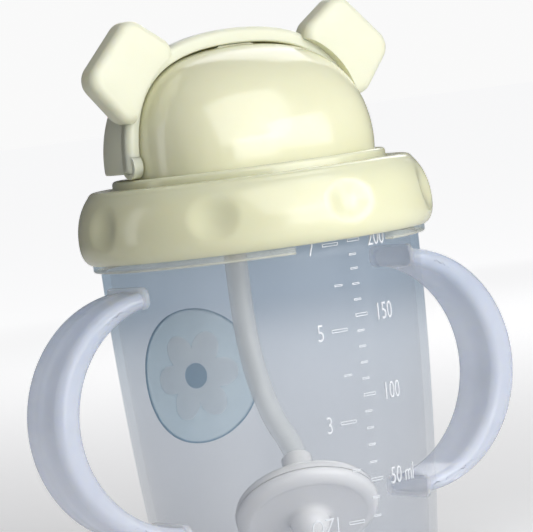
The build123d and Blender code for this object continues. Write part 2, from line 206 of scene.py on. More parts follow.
def ranged(nodes, links, value, low, high, from_low=0.3, from_high=0.7):
    """A number moved from one range to another."""
    scale = nodes.new("ShaderNodeMapRange")
    scale.inputs["From Min"].default_value = from_low
    scale.inputs["From Max"].default_value = from_high
    scale.inputs["To Min"].default_value = low
    scale.inputs["To Max"].default_value = high
    links.new(value, scale.inputs["Value"])
    return scale.outputs["Result"]


def noise(nodes, links, where, scale, detail=3.0):
    """A number that wanders about 0.5 from place to place."""
    texture = nodes.new("ShaderNodeTexNoise")
    texture.inputs["Scale"].default_value = scale
    texture.inputs["Detail"].default_value = detail
    links.new(where, texture.inputs["Vector"])
    return texture.outputs["Fac"]


def moulded(name, light, dark, roughness, grain=0.02, alpha=None, alpha_top=None,
            height=(10.0, 70.0), coat=0.0, soft=0.0, sheen=0.0, metal=0.0):
    """Moulded plastic or silicone.  light and dark are its cloudy colours and grain is its
    surface bump.  alpha is what a clear one holds back, and alpha_top is what it holds back
    at the upper end of height where that differs."""
    material = bpy.data.materials.new(name)
    material.use_nodes = True
    nodes = material.node_tree.nodes
    links = material.node_tree.links
    shader = nodes["Principled BSDF"]
    where = nodes.new("ShaderNodeTexCoord").outputs["Object"]
    clouds = noise(nodes, links, where, CLOUDS_PER_METRE)
    links.new(mixed(nodes, links, clouds, dark, light), shader.inputs["Base Color"])
    streaks = noise(nodes, links, where, STREAKS_PER_METRE, 5.0)
    spread = ranged(nodes, links, streaks, roughness * 0.8, roughness * 1.2)
    links.new(spread, shader.inputs["Roughness"])
    bump = nodes.new("ShaderNodeBump")
    bump.inputs["Strength"].default_value = grain
    bump.inputs["Distance"].default_value = GRAIN_DEPTH
    links.new(noise(nodes, links, where, GRAINS_PER_METRE, 2.0), bump.inputs["Height"])
    links.new(bump.outputs["Normal"], shader.inputs["Normal"])
    shader.inputs["Metallic"].default_value = metal
    shader.inputs["Coat Weight"].default_value = coat
    shader.inputs["Coat Roughness"].default_value = 0.08
    shader.inputs["Subsurface Weight"].default_value = soft
    shader.inputs["Subsurface Radius"].default_value = (1.0, 0.85, 0.6)
    shader.inputs["Subsurface Scale"].default_value = SOFT_DEPTH
    shader.inputs["Sheen Weight"].default_value = sheen
    if alpha:
        split = nodes.new("ShaderNodeSeparateXYZ")
        links.new(where, split.inputs["Vector"])
        top = alpha if alpha_top is None else alpha_top
        low, high = height
        held = ranged(nodes, links, split.outputs["Z"], alpha, top, low * MM, high * MM)
        cloudy = nodes.new("ShaderNodeMath")
        cloudy.operation = "MULTIPLY"
        links.new(held, cloudy.inputs[0])
        uneven = ranged(nodes, links, clouds, 1 - CLOUD_CONTRAST, 1 + CLOUD_CONTRAST)
        links.new(uneven, cloudy.inputs[1])
        links.new(cloudy.outputs["Value"], shader.inputs["Alpha"])
    return material


CREAM = moulded("cream_satin", (0.75, 0.755, 0.60), (0.725, 0.73, 0.57), 0.38, 0.03, soft=0.45)
CREAM_GLOSS = moulded("cream_gloss", (0.80, 0.785, 0.56), (0.775, 0.76, 0.525), 0.2, 0.006,
                      coat=0.5, soft=0.45)
COLLAR_CREAM = moulded("cream_collar", (0.77, 0.765, 0.545), (0.745, 0.74, 0.51), 0.22, 0.012,
                       coat=0.35, soft=0.45)
CLEAR = moulded("clear_wall", (0.43, 0.48, 0.57), (0.40, 0.45, 0.55), 0.16, 0.008,
                alpha=0.13, alpha_top=0.125, height=(14.0, 60.0), coat=0.4)
# painted reflection: the collar's cream painted on the clear ledge, thickest towards its lower edge
LEDGE = moulded("clear_ledge", (0.92, 0.91, 0.76), (0.90, 0.89, 0.74), 0.16, 0.008,
                alpha=0.7, alpha_top=0.2, height=(71.35, 72.0), coat=0.4)
MILKY = moulded("milky_handle", (0.72, 0.77, 0.89), (0.67, 0.72, 0.86), 0.14, 0.008,
                alpha=0.5, coat=0.6, soft=0.5)
MARK = moulded("raised_marks", (0.93, 0.95, 0.98), (0.88, 0.91, 0.95), 0.25, 0.02,
               alpha=0.72)
BADGE = moulded("badge_film", (0.66, 0.86, 0.94), (0.60, 0.81, 0.90), 0.35, 0.02,
                alpha=0.5)
BADGE_EDGE = moulded("badge_edge", (0.10, 0.27, 0.40), (0.08, 0.24, 0.36), 0.4, 0.02)
BADGE_PALE = moulded("badge_pale", (0.80, 0.90, 0.95), (0.74, 0.85, 0.92), 0.4, 0.02,
                     alpha=0.8)
SILICONE = moulded("silicone", (0.84, 0.87, 0.86), (0.78, 0.81, 0.80), 0.45, 0.04,
                   alpha=0.9, soft=0.25, sheen=0.2)
PAD = moulded("milky_pad", (0.97, 0.97, 0.99), (0.94, 0.95, 0.98), 0.2, 0.008,
              alpha=0.35, coat=0.4, soft=0.8)
TUBE = moulded("silicone_tube", (0.93, 0.95, 0.94), (0.88, 0.91, 0.91), 0.3, 0.03,
               alpha=0.42, coat=0.2, sheen=0.1)
WHITE = moulded("white_shell", (0.845, 0.84, 0.835), (0.82, 0.815, 0.81), 0.2, 0.008,
                coat=0.4, soft=0.1)
STEEL = moulded("steel_ring", (0.62, 0.62, 0.64), (0.5, 0.5, 0.52), 0.35, 0.05, metal=1.0)


# ---------------------------------------------------------------- bottle
WALL = 1.8
WALL_TOP_R = 33.67           # at the 190 ml mark
WALL_SLOPE = 0.0193
WALL_BOW = 0.0007
BASE_CORNER = 6.5
FLOOR = 3.0
HOLLOW_R, HOLLOW_TALL = 16.6, 1.0        # the shallow hollow under the base
LEDGE_R = 35.2
LEDGE_BREAK = math.radians(20)           # half of the break at its front
FLANGE_LOW = 71.4
NECK_LOW = 72.9
NECK_TOP = 84.2
NECK_R = 32.6
NECK_BORE_R = 31.0
THREAD_SINK = 0.2            # how far a thread's root lies inside its wall
SEAM_HEIGHT = 0.12
SEAM_HALF = 0.3


def radius_at(z):
    """Outer radius of the bottle's wall at a height."""
    depth = MARK_BASE_Z - z
    return WALL_TOP_R - WALL_SLOPE * depth - WALL_BOW * depth * depth


def on_wall(along, z, proud):
    """A point beside the scale: along the wall from -Y, up Z, and out of the wall."""
    angle = along / radius_at(z)
    radius = radius_at(z) + proud
    return (radius * math.sin(angle), -radius * math.cos(angle), z)


def wall_side(inset, corner, low):
    """Outline from the floor's edge round the corner and up the wall."""
    foot = low + corner
    middle = radius_at(foot) - inset - corner
    arc = [(middle + corner * math.sin(a), foot - corner * math.cos(a))
           for a in spaced(0, math.pi / 2, 10)]
    return arc + [(radius_at(z) - inset, z) for z in spaced(foot, FLANGE_LOW, 40)[1:]]


def seam(radius, angle, z):
    """The mould's parting line stands a little proud at +X and -X."""
    off_line = abs(math.sin(angle)) * radius
    on_outside = radius > radius_at(min(z, FLANGE_LOW)) - WALL / 2 and BASE_CORNER < z < FLANGE_LOW
    return radius + SEAM_HEIGHT if on_outside and off_line < SEAM_HALF else radius


def make_bottle():
    """The hollow body with its neck and thread."""
    outline = [(0, HOLLOW_TALL), (HOLLOW_R, HOLLOW_TALL), (17.4, 0.9), (19.6, 0.1), (20.3, 0.0)]
    outline += wall_side(0, BASE_CORNER, 0)
    outline += [(NECK_R, NECK_LOW)]
    outline += rounded([(NECK_R, NECK_LOW + 1, 0), (NECK_R, NECK_TOP, 0.5),
                        (NECK_BORE_R, NECK_TOP, 0.5), (NECK_BORE_R, NECK_LOW, 0)], 4)
    outline += reversed(wall_side(WALL, BASE_CORNER - WALL, FLOOR))
    outline += [(0, FLOOR)]
    body = turned(outline, 288, seam)
    bottle = build("clear_bottle", *join(body, thread(NECK_R - THREAD_SINK, 33.9, 76.6)), CLEAR)
    bottle.visible_shadow = False        # clear plastic passes its light on to what is inside
    return bottle


def make_ledge():
    """The ledge under the collar, broken at the front.  Its lower edge is painted cream, a painted
    reflection of the collar above it.
    """
    root_r = NECK_R + 0.3
    section = rounded([(root_r, FLANGE_LOW + 0.1, 0), (LEDGE_R, FLANGE_LOW, 0.5),
                       (LEDGE_R, NECK_LOW, 0.15), (root_r, NECK_LOW, 0)], 5)
    round_trip = spaced(-math.pi / 2 + LEDGE_BREAK, 1.5 * math.pi - LEDGE_BREAK, 150)
    ledge = build("neck_ledge", *ridge_round(section, round_trip, upright), LEDGE)
    ledge.visible_shadow = False
    return ledge


def thread(root_r, tip_r, start_z, lead=4.0):
    """One turn of a sloped helical ridge that fades in and out."""
    def climb(radius, angle, z):
        ends = min(1.0, min(angle, 2 * math.pi - angle) / 0.25)
        radius = root_r + (radius - root_r) * ends
        return upright(radius, angle, z + lead * angle / (2 * math.pi))
    section = rounded([(root_r, start_z - 0.65, 0), (tip_r, start_z - 0.35, 0.2),
                       (tip_r, start_z + 0.35, 0.2), (root_r, start_z + 0.65, 0)], 3)
    return ridge_round(section, spaced(0, 2 * math.pi, 120), climb)


# ---------------------------------------------------------------- measuring scale
ML_TOP = 190.0
ML_TOP_Z = MARK_BASE_Z
ML_PER_OUNCE = 28.41
DIGIT_SIZE = 5.1             # size of the type; its digits are about 3.6 tall
DIGIT_SQUEEZE = 0.66
LONG_TICK_TALL = 0.7
TICK_TALL = 0.46
TICK_LINE = 0.16             # a tick is a raised line round a bar
TICK_CORNER = 0.12
MARK_SINK, MARK_SHOULDER, MARK_PROUD = -0.05, 0.12, 0.16     # out of the wall
ML_TICK, ML_LONG_TICK = 1.8, 3.0         # lengths
OUNCE_TICK, OUNCE_LONG_TICK = 1.9, 3.6
ML_WORDS_FROM = 5.1          # places along the wall, from where the ml ticks start
OUNCE_TICKS_TO = -2.3
OUNCE_DIGITS_AT = -8.3
OUNCE_WORD_FROM = -13.9
TOP_FROM = 180               # above this volume the photo's marks stand a little lower
TOP_DROP = 0.025             # by this much for each millilitre


def height_of(volume):
    """The height at which the bottle holds a volume, stepping from the 190 ml mark."""
    z = ML_TOP_Z
    left = (volume - ML_TOP) * 1000
    step = 0.05 if left > 0 else -0.05
    while left * step > 0:
        left -= math.pi * (radius_at(z) - WALL)**2 * step
        z += step
    return z


def tick(start, length, z, tall):
    """A raised outline of a bar on the wall, open in its middle."""
    half = tall / 2
    rings = []
    for inset, proud in ((0.0, MARK_SINK), (0.0, MARK_SHOULDER), (0.05, MARK_PROUD),
                         (TICK_LINE - 0.05, MARK_PROUD), (TICK_LINE, MARK_SHOULDER),
                         (TICK_LINE, MARK_SINK)):
        low, high = start + inset, start + length - inset
        foot, head = z - half + inset, z + half - inset
        outline = rounded([(low, foot, TICK_CORNER), (high, foot, TICK_CORNER),
                           (high, head, TICK_CORNER), (low, head, TICK_CORNER)], 4)
        rings.append([on_wall(along, up, proud) for along, up in outline])
    return loft(rings, wrap_rings=True)


def words(text, along, z, align="LEFT"):
    """Raised type wrapped on the wall, centred on a height."""
    data = bpy.data.curves.new("type", "FONT")
    data.body = text
    data.size = DIGIT_SIZE
    data.align_x = align
    data.extrude = 0.1
    data.bevel_depth = 0.05
    data.bevel_resolution = 1
    data.resolution_u = 3
    data.offset = -0.07
    carrier = bpy.data.objects.new("type", data)
    bpy.context.scene.collection.objects.link(carrier)
    bpy.context.view_layer.update()
    graph = bpy.context.evaluated_depsgraph_get()
    mesh = bpy.data.meshes.new_from_object(carrier.evaluated_get(graph))
    middle = (min(v.co.y for v in mesh.vertices) + max(v.co.y for v in mesh.vertices)) / 2
    points = [on_wall(along + v.co.x * DIGIT_SQUEEZE, z + v.co.y - middle, v.co.z + 0.04)
              for v in mesh.vertices]
    faces = [tuple(face.vertices) for face in mesh.polygons]
    bpy.data.objects.remove(carrier)
    bpy.data.curves.remove(data)
    bpy.data.meshes.remove(mesh)
    return points, faces


def mark_height(volume):
    """The height of a volume's mark."""
    return height_of(volume) - TOP_DROP * max(0.0, volume - TOP_FROM)


def make_scale():
    """Raised ticks and numbers, millilitres on one side and ounces on the other."""
    shapes = []
    for volume in range(10, 201, 10):
        long = volume % 50 == 0
        length, tall = (ML_LONG_TICK, LONG_TICK_TALL) if long else (ML_TICK, TICK_TALL)
        shapes.append(tick(0.0, length, mark_height(volume), tall))
    for volume, text in ((50, "50 ml"), (100, "100"), (150, "150"), (200, "200")):
        shapes.append(words(text, ML_WORDS_FROM, mark_height(volume)))
    for ounce in range(1, 8):
        z = mark_height(ounce * ML_PER_OUNCE)
        long = ounce % 2 == 1
        length, tall = (OUNCE_LONG_TICK, LONG_TICK_TALL) if long else (OUNCE_TICK, TICK_TALL)
        shapes.append(tick(OUNCE_TICKS_TO - length, length, z, tall))
        if long:
            shapes.append(words(str(ounce), OUNCE_DIGITS_AT, z, "CENTER"))
    shapes.append(words("OZ", OUNCE_WORD_FROM, height_of(ML_PER_OUNCE)))
    return build("measuring_scale", *join(*shapes), MARK, 30)


# ---------------------------------------------------------------- badge
BADGE_R = 14.8
BADGE_Z = 44.9
BADGE_RIM = 0.4
FLOWER_R = 10.2
PETALS = 6
PETAL_DEPTH = 0.45
HEART_R = 2.8


def on_back(across, up, proud):
    """A point on the +Y wall, from the badge's middle."""
    z = BADGE_Z + up
    radius = radius_at(z)
    angle = across / radius
    return ((radius + proud) * math.sin(angle), (radius + proud) * math.cos(angle), z)


def patch(outline, low, high, rows=10):
    """A plate on the wall over an outline, from low to high out of the wall.  Its rings are
    scaled copies of the outline, so all of that has to be in sight of its middle."""
    middle = Vector((sum(p[0] for p in outline), sum(p[1] for p in outline))) / len(outline)
    rings = []
    sizes = [0.02] + spaced(0.1, 1, rows)
    for size, proud in [(t, low) for t in sizes] + [(t, high) for t in reversed(sizes)]:
        rings.append([on_back(middle.x + (a - middle.x) * size, middle.y + (b - middle.y) * size,
                              proud) for a, b in outline])
    return loft(rings, cap=True)


def petals(radius, count, depth, steps=160):
    """A flower outline."""
    outline = []
    for i in range(steps):
        angle = 2 * math.pi * i / steps
        reach = radius * (1 - depth + depth * abs(math.cos(angle * count / 2))**0.7)
        outline.append((reach * math.cos(angle), reach * math.sin(angle)))
    return outline


def circle(radius, steps=96):
    """A round outline."""
    return [(radius * math.cos(a), radius * math.sin(a)) for a in spaced(0, 2 * math.pi, steps)[:-1]]


def make_badge():
    """A plain flower on a round film with a rim."""
    disc = build("badge_disc", *patch(circle(BADGE_R - BADGE_RIM / 2), 0.08, 0.2), BADGE, 30)
    inside = BADGE_R - BADGE_RIM
    section = [(inside, 0.02), (inside, 0.28), (BADGE_R, 0.28), (BADGE_R, 0.02)]
    rings = []
    for angle in spaced(0, 2 * math.pi, 128)[:-1]:
        rings.append([on_back(r * math.cos(angle), r * math.sin(angle), p) for r, p in section])
    edge = build("badge_rim", *loft(rings, wrap_rings=True), BADGE_EDGE, 30)
    blossom = petals(FLOWER_R, PETALS, PETAL_DEPTH)
    flower = build("badge_flower", *patch(blossom, 0.02, 0.26), BADGE_PALE, 30)
    heart = build("badge_flower_middle", *patch(circle(HEART_R), 0.01, 0.32), BADGE_EDGE, 30)
    return [disc, edge, flower, heart]


# ---------------------------------------------------------------- handles
HANDLE_MID_Z = 41.2
OUTER_X, OUTER_R = 31.2, 26.5
INNER_X, INNER_R = 28.2, 23.3
HANDLE_WIDTH = 14.6
HANDLE_CORNER = 1.9
ROOT_SINK = 0.35              # how far a loop's ends lie inside the wall's outside
OUTER_CROWN, INNER_CROWN = 0.35, 0.2
SKIN_SINK = 0.08              # keeps the parting line inside the CAD handle
LINE_HALF, LINE_TALL = 0.25, 0.07
LOOP_SIDES = (10, 2, 10, 2)   # pieces that each side of the loop's section is split into
PAD_MIDDLES = (66.0, 16.2)
PAD_WIDTH = 15.6
PAD_HEIGHT = 4.7
PAD_CORNER = 1.8
PAD_REACH = 35.2
PAD_PROUD = 1.2               # how far a pad stands out of the wall beside it
PAD_SINK = 0.1
PAD_EDGE = ((1.0, 0.45), (0.95, 0.12), (0.86, 0.0), (0.4, 0.0))     # size, and step down


def landing(centre_x, radius, sign):
    """The angle at which a round of the loop meets the wall, above (+1) or below (-1)."""
    angle = math.radians(60)
    for _ in range(40):
        z = HANDLE_MID_Z + sign * radius * math.sin(angle)
        cosine = (radius_at(z) - ROOT_SINK - centre_x) / radius
        angle = 0.5 * angle + 0.5 * math.acos(cosine)
    return sign * angle


def split_sides(outline, pieces):
    """Add points on each side of a rounded outline, the same number whatever its size."""
    per_corner = len(outline) // len(pieces)
    result = []
    for number, spot in enumerate(outline):
        result.append(spot)
        if (number + 1) % per_corner == 0:
            follow = outline[(number + 1) % len(outline)]
            count = pieces[number // per_corner]
            for i in range(1, count):
                part = i / count
                result.append((spot[0] + (follow[0] - spot[0]) * part,
                               spot[1] + (follow[1] - spot[1]) * part))
    return result


def make_handle(side, name):
    """A crowned loop with a fine parting line along the middle of its outside."""
    outer_low, outer_high = (landing(OUTER_X, OUTER_R, s) for s in (-1, 1))
    inner_low, inner_high = (landing(INNER_X, INNER_R, s) for s in (-1, 1))
    rings = []
    for t in spaced(0, 1, 96):
        a = outer_low + (outer_high - outer_low) * t
        b = inner_low + (inner_high - inner_low) * t
        out = Vector((OUTER_X + OUTER_R * math.cos(a), HANDLE_MID_Z + OUTER_R * math.sin(a)))
        inn = Vector((INNER_X + INNER_R * math.cos(b), HANDLE_MID_Z + INNER_R * math.sin(b)))
        thick = (out - inn).length
        half = HANDLE_WIDTH / 2
        corner = min(HANDLE_CORNER, thick * 0.42)
        section = rounded([(0, -half, corner), (0, half, corner), (thick, half, corner),
                           (thick, -half, corner)], 7)
        ring = []
        for depth, y in split_sides(section, LOOP_SIDES):
            outside = depth > thick * 0.5
            crown = (OUTER_CROWN if outside else -INNER_CROWN) * (y / half)**2
            line = LINE_TALL if outside and abs(y) < LINE_HALF else 0.0
            spot = inn + (out - inn).normalized() * (depth - crown + line - SKIN_SINK)
            ring.append((side * spot.x, y, spot.y))
        rings.append(ring)
    loop = loft(rings)                   # open where it grows out of the wall
    pads = [make_pad(side, z) for z in PAD_MIDDLES]
    return [build(name, *loop, MILKY), build(name + "_pads", *join(*pads), PAD)]


def make_pad(side, middle_z):
    """The plate at a handle's root, hollowed to the wall."""
    wide, tall = PAD_WIDTH / 2, PAD_HEIGHT / 2
    outline = rounded([(-wide, -tall, PAD_CORNER), (wide, -tall, PAD_CORNER),
                       (wide, tall, PAD_CORNER), (-wide, tall, PAD_CORNER)])
    rings = []
    for size, step_down in ((1.0, None),) + PAD_EDGE:
        ring = []
        for y, up in outline:
            z = middle_z + up * size
            across = y * (1 - (1 - size) * PAD_HEIGHT / PAD_WIDTH)
            x = math.sqrt((radius_at(z) - PAD_SINK)**2 - across**2)
            if step_down is not None:
                x = min(x + PAD_PROUD, PAD_REACH) - step_down
            ring.append((side * x, across, z))
        rings.append(ring)
    return loft(rings, cap_last=True)


# ---------------------------------------------------------------- collar and lid ring
COLLAR_R = 37.55
COLLAR_BORE_R = 34.3
COLLAR_TOP = 88.25
COLLAR_FOOT = 73.1
DIMPLES = 8
SCOOP_R = 12.0
SCOOP_FROM = 35.9 + SCOOP_R  # a scoop comes within 35.9 of the axis
SCOOP_Z = 82.8
SCOOP_BLUR = 1.0
RING_R, RING_BORE_R = 29.0, 27.2
PLUG_R, PLUG_BORE_R, PLUG_LOW = 30.6, 29.2, 82.5
FLANGE_R, FLANGE_FOOT, FLANGE_TOP = 32.8, 85.5, 86.75
DECK_HALF = 26.0
DECK_LOW = 88.0
DECK_TOP = RING_TOP_Z - 0.15
DECK_UNDER_DOME = 0.8
DECK_FAR_R = RING_BORE_R + 0.3           # a little way into the step ring


def scooped(radius, angle, z):
    """Round scoops in the collar's outside, with softened edges."""
    if radius < COLLAR_BORE_R + 0.1:
        return radius
    pitch = 2 * math.pi / DIMPLES
    off = (angle + pitch / 2) % pitch - pitch / 2
    beside = SCOOP_FROM * math.sin(off)
    square = SCOOP_R**2 - (z - SCOOP_Z)**2 - beside**2
    if square <= 0:
        return radius
    cut = SCOOP_FROM * math.cos(off) - math.sqrt(square)
    h = max(0.0, min(1.0, 0.5 + 0.5 * (cut - radius) / SCOOP_BLUR))
    return cut * (1 - h) + radius * h - SCOOP_BLUR * h * (1 - h)


def make_collar():
    """The screw collar, with its scoops outside and its thread inside."""
    shoulder, widest, foot = (34.5, 87.2), (COLLAR_R, 78.0), (35.6, COLLAR_FOOT)
    outline = [(29.35, 86.85), (29.35, 88.05), (29.5, COLLAR_TOP)]
    outline += bezier([(32.6, COLLAR_TOP), (34.0, COLLAR_TOP), shoulder], 8)
    outline += bezier([shoulder, (36.9, 84.4), (COLLAR_R, 81.0), widest], 26)[1:]
    outline += bezier([widest, (COLLAR_R, 75.6), (37.0, 73.9), foot], 16)[1:]
    outline += [(COLLAR_BORE_R + 0.2, COLLAR_FOOT), (COLLAR_BORE_R, COLLAR_FOOT + 0.2),
                (COLLAR_BORE_R, 85.8), (33.3, 86.85)]
    body = turned(outline, 480, scooped)
    inside_thread = thread(COLLAR_BORE_R + THREAD_SINK, 33.05, 75.1)
    return build("collar_shell", *join(body, inside_thread), COLLAR_CREAM, 50)


def make_lid_ring():
    """The plate in the collar, with its plug, its flange and the step ring round the dome."""
    outline = [(0.0, PLATE_LOW)] + rounded([
        (PLUG_BORE_R, PLATE_LOW, 0.0), (PLUG_BORE_R, PLUG_LOW, 0.2), (PLUG_R, PLUG_LOW, 0.5),
        (PLUG_R, FLANGE_FOOT, 0.2), (FLANGE_R, FLANGE_FOOT, 0.2), (FLANGE_R, FLANGE_TOP, 0.2),
        (RING_R, FLANGE_TOP, 0.2), (RING_R, RING_TOP_Z, 0.8), (RING_BORE_R, RING_TOP_Z, 0.4),
        (RING_BORE_R, PLATE_TOP, 0.6)], 5) + [(0.0, PLATE_TOP)]
    return build("lid_plate", *join(turned(outline, 220), make_deck()), COLLAR_CREAM, 40)


def reach_at(outline, x):
    """How far a turned arch stands from its axis at one place along it."""
    for (x0, reach0), (x1, reach1) in zip(outline, outline[1:]):
        if min(x0, x1) <= x <= max(x0, x1) and x0 != x1:
            return reach0 + (reach1 - reach0) * (x - x0) / (x1 - x0)
    return 0.0


def make_deck():
    """The crescent that closes the lid between the dome's foot and the step ring."""
    dome = arch(DOME_HALF, DOME_TALL, DOME_FULL)
    below_pivot = PIVOT_Z - RING_TOP_Z
    rings = []
    for x in spaced(-DECK_HALF, DECK_HALF, 72):
        foot = math.sqrt(max(reach_at(dome, x)**2 - below_pivot**2, 0.0))
        near, far = -foot + DECK_UNDER_DOME, -math.sqrt(DECK_FAR_R**2 - x**2)
        rings.append([(x, near, DECK_LOW), (x, near, DECK_TOP), (x, far, DECK_TOP),
                      (x, far, DECK_LOW)])
    return loft(rings, cap=True)


# ---------------------------------------------------------------- dome and hood
DOME_WALL = 1.6
DOME_FRONT_Y = 2.4
DOME_FOOT, HOOD_FOOT = 6.7, 1.4          # how far each comes down below the pivot
HOOD_WALL = 1.7
MOUTH_HALF, MOUTH_TALL = DOME_HALF + 0.25, DOME_TALL + 0.4      # the hood's rim over the dome
RIM_FRONT, RIM_BACK = -1.8, 1.2
RIM_FEET = (                 # up from the pivot, outside drawn in, inside drawn out
    (-HOOD_FOOT, 0.5, 0.3), (-0.95, 0.0, 0.0), (-0.5, 0.0, 0.0))
AXLE_R = 1.5
LUG_HALF = 4.5
LUG_SECTION = ((-1.2, -0.3), (-1.0, 0.25), (-0.3, 0.35), (0.4, 0.25), (0.6, -0.3))


def arch(half_length, height, fullness, steps=44):
    """(x, up) points of the arch from +X over the top to -X, counted from the pivot."""
    side = bezier([(half_length, 0), (half_length, fullness * height),
                   (fullness * half_length, height), (0, height)], steps)
    return side + [(-x, z) for x, z in reversed(side[:-1])]


def shell(outer, inner, front_y, low, sign, foot_r, steps=64):
    """A closed wall between two turned arches, from front_y round towards sign * Y and down
    to low below the pivot."""
    rings = []
    for out, inn in zip(outer, inner):
        ring = []
        for (x, reach), order in ((out, 1), (inn, -1)):
            reach = max(reach, 0.02)
            first = -math.asin(max(-1, min(1, front_y / reach)))
            last = math.acos(max(-1, -(low - foot_r) / reach))
            wall = [(reach * math.sin(angle), reach * math.cos(angle))
                    for angle in spaced(first, last, steps)]
            if reach > 3 * foot_r:
                y, up = wall[-1]
                wall.append((y - order * foot_r * 0.3, up - foot_r * 0.7))
                wall.append((y - order * foot_r, up - foot_r))
            else:
                wall += [wall[-1]] * 2
            ring += [(x, sign * y, PIVOT_Z + up) for y, up in wall[::order]]
        rings.append(ring)
    return loft(rings)


def at_pivots(outline):
    """A (radius, distance from the middle) outline turned about both ends of the hood's axis."""
    shapes = []
    for turn in (math.pi / 2, -math.pi / 2):
        axis = Matrix.Translation((0, 0, PIVOT_Z)) @ Matrix.Rotation(turn, 4, "Y")
        shapes.append(turned(outline, 40, axis=axis))
    return shapes


def make_dome():
    """The fixed rear dome with the hood's axles."""
    outer = arch(DOME_HALF, DOME_TALL, DOME_FULL)
    inner = arch(DOME_HALF - DOME_WALL, DOME_TALL - DOME_WALL, DOME_FULL)
    body = shell(outer, inner, DOME_FRONT_Y, DOME_FOOT, -1, 0.2)
    axles = at_pivots([(0, 24.5), (AXLE_R, 24.5), (AXLE_R, 28.4), (AXLE_R - 0.3, 28.7), (0, 28.7)])
    return build("dome_shell", *join(body, *axles, detent()), CREAM_GLOSS, 42)


def detent():
    """The low bar on the dome's top that the hood's rim clicks over."""
    rings = []
    for x in spaced(-LUG_HALF, LUG_HALF, 24):
        fade = min(1.0, (LUG_HALF - abs(x)) / 0.8)**0.5
        top_z = PIVOT_Z + DOME_TALL - 0.004 * x * x      # the dome falls away to both sides
        rings.append([(x, y, top_z + (up * fade if up > 0 else up)) for y, up in LUG_SECTION])
    return loft(rings, cap=True)


def make_hood():
    """The front shell, its thicker rim over the dome and its knuckles round the axles."""
    outer = arch(HOOD_HALF, HOOD_TALL, HOOD_FULL)
    inner = arch(HOOD_HALF - HOOD_WALL, HOOD_TALL - HOOD_WALL, HOOD_FULL)
    body = shell(outer, inner, 0.0, HOOD_FOOT, 1, 0.6)
    mouth = arch(MOUTH_HALF, MOUTH_TALL, DOME_FULL)
    first_foot = [((HOOD_HALF - inwards, up), (MOUTH_HALF + outwards, up))
                  for up, inwards, outwards in RIM_FEET]
    last_foot = [((-a[0], a[1]), (-b[0], b[1])) for a, b in reversed(first_foot)]
    rings = []
    for out, inn in first_foot + list(zip(outer, mouth)) + last_foot:
        out, inn = Vector(out), Vector(inn)
        thick = (out - inn).length
        across = (out - inn).normalized()
        section = rounded([(0, RIM_FRONT, 0.45), (thick, RIM_FRONT, 1.35),
                           (thick, RIM_BACK, 0.0), (0, RIM_BACK, 0.3)], 8)
        ring = []
        for depth, y in section:
            spot = inn + across * depth
            ring.append((spot.x, y, PIVOT_Z + spot.y))
        rings.append(ring)
    rim = loft(rings, cap=True)
    bore_r = AXLE_R + 0.06
    knuckles = at_pivots([(bore_r, 26.9), (2.6, 26.9), (2.6, 29.0), (bore_r, 29.0)])
    return build("hood_shell", *join(body, rim, *knuckles), CREAM, 42)


# ---------------------------------------------------------------- ears
EAR_CORNERS = ((26.3, 31.1), (38.2, 18.7), (28.3, 6.6), (14.8, 23.0))
EAR_FRONT, EAR_BACK = -4.2, 2.6
EAR_CORNER_R = 3.9
EAR_EDGE_R = 1.9
EAR_PILLOW = ((5.6, 0.0), (4.2, 0.03), (3.0, 0.09), (2.4, 0.16))    # in from the edge, depth
EAR_PILLOW_DEPTH = 0.2
EAR_SINK = 1.0               # how far an ear goes into the hood's outside


def inset_corners(distance):
    """The ear's corners with its sides moved inwards."""
    count = len(EAR_CORNERS)
    lines = []
    for i in range(count):
        a, b = Vector(EAR_CORNERS[i]), Vector(EAR_CORNERS[(i + 1) % count])
        along = (b - a).normalized()
        lines.append((a + Vector((along.y, -along.x)) * distance, along))
    corners = []
    for i in range(count):
        (p, d), (q, e) = lines[i - 1], lines[i]
        t = ((q - p).x * e.y - (q - p).y * e.x) / (d.x * e.y - d.y * e.x)
        corners.append(tuple(p + d * t))
    return corners


def ear_ring(side, distance, y):
    """The ear's outline at one depth, moved inwards by a distance."""
    radius = max(EAR_CORNER_R - distance * 0.55, 0.8)
    outline = rounded([(x, z, radius) for x, z in inset_corners(distance)], 12)
    return [(side * x, y, PIVOT_Z + z) for x, z in outline]


def make_ear(side, name):
    """A pillow with a round edge, cut to sit on the hood."""
    profile = []
    for face_y, inwards in ((EAR_FRONT, 1), (EAR_BACK, -1)):
        part = [(distance, face_y + inwards * depth) for distance, depth in EAR_PILLOW]
        for a in spaced(0, math.pi / 2, 9):
            depth = EAR_PILLOW_DEPTH + EAR_EDGE_R * (1 - math.cos(a))
            part.append((EAR_EDGE_R * (1 - math.sin(a)), face_y + inwards * depth))
        profile += part if inwards > 0 else part[::-1]
    rings = [ear_ring(side, distance, y) for distance, y in profile]
    ear = build(name, *loft(rings, cap=True), CREAM, 40)
    half = HOOD_HALF - EAR_SINK
    core = [(half, -HOOD_FOOT)] + arch(half, HOOD_TALL - EAR_SINK, HOOD_FULL, 30)
    core.append((-half, -HOOD_FOOT))
    ends = [[(x, y, PIVOT_Z + z) for x, z in core] for y in (-10, 10)]
    cutter = build("ear_cutter", *loft(ends, cap=True), CREAM)
    cut = ear.modifiers.new("cut", "BOOLEAN")
    cut.operation = "DIFFERENCE"
    cut.solver = "EXACT"
    cut.object = cutter
    bpy.context.view_layer.update()
    graph = bpy.context.evaluated_depsgraph_get()
    clean = bpy.data.meshes.new_from_object(ear.evaluated_get(graph))
    ear.modifiers.clear()
    ear.data = clean
    bpy.data.objects.remove(cutter)
    tidy(ear, 40)
    return ear


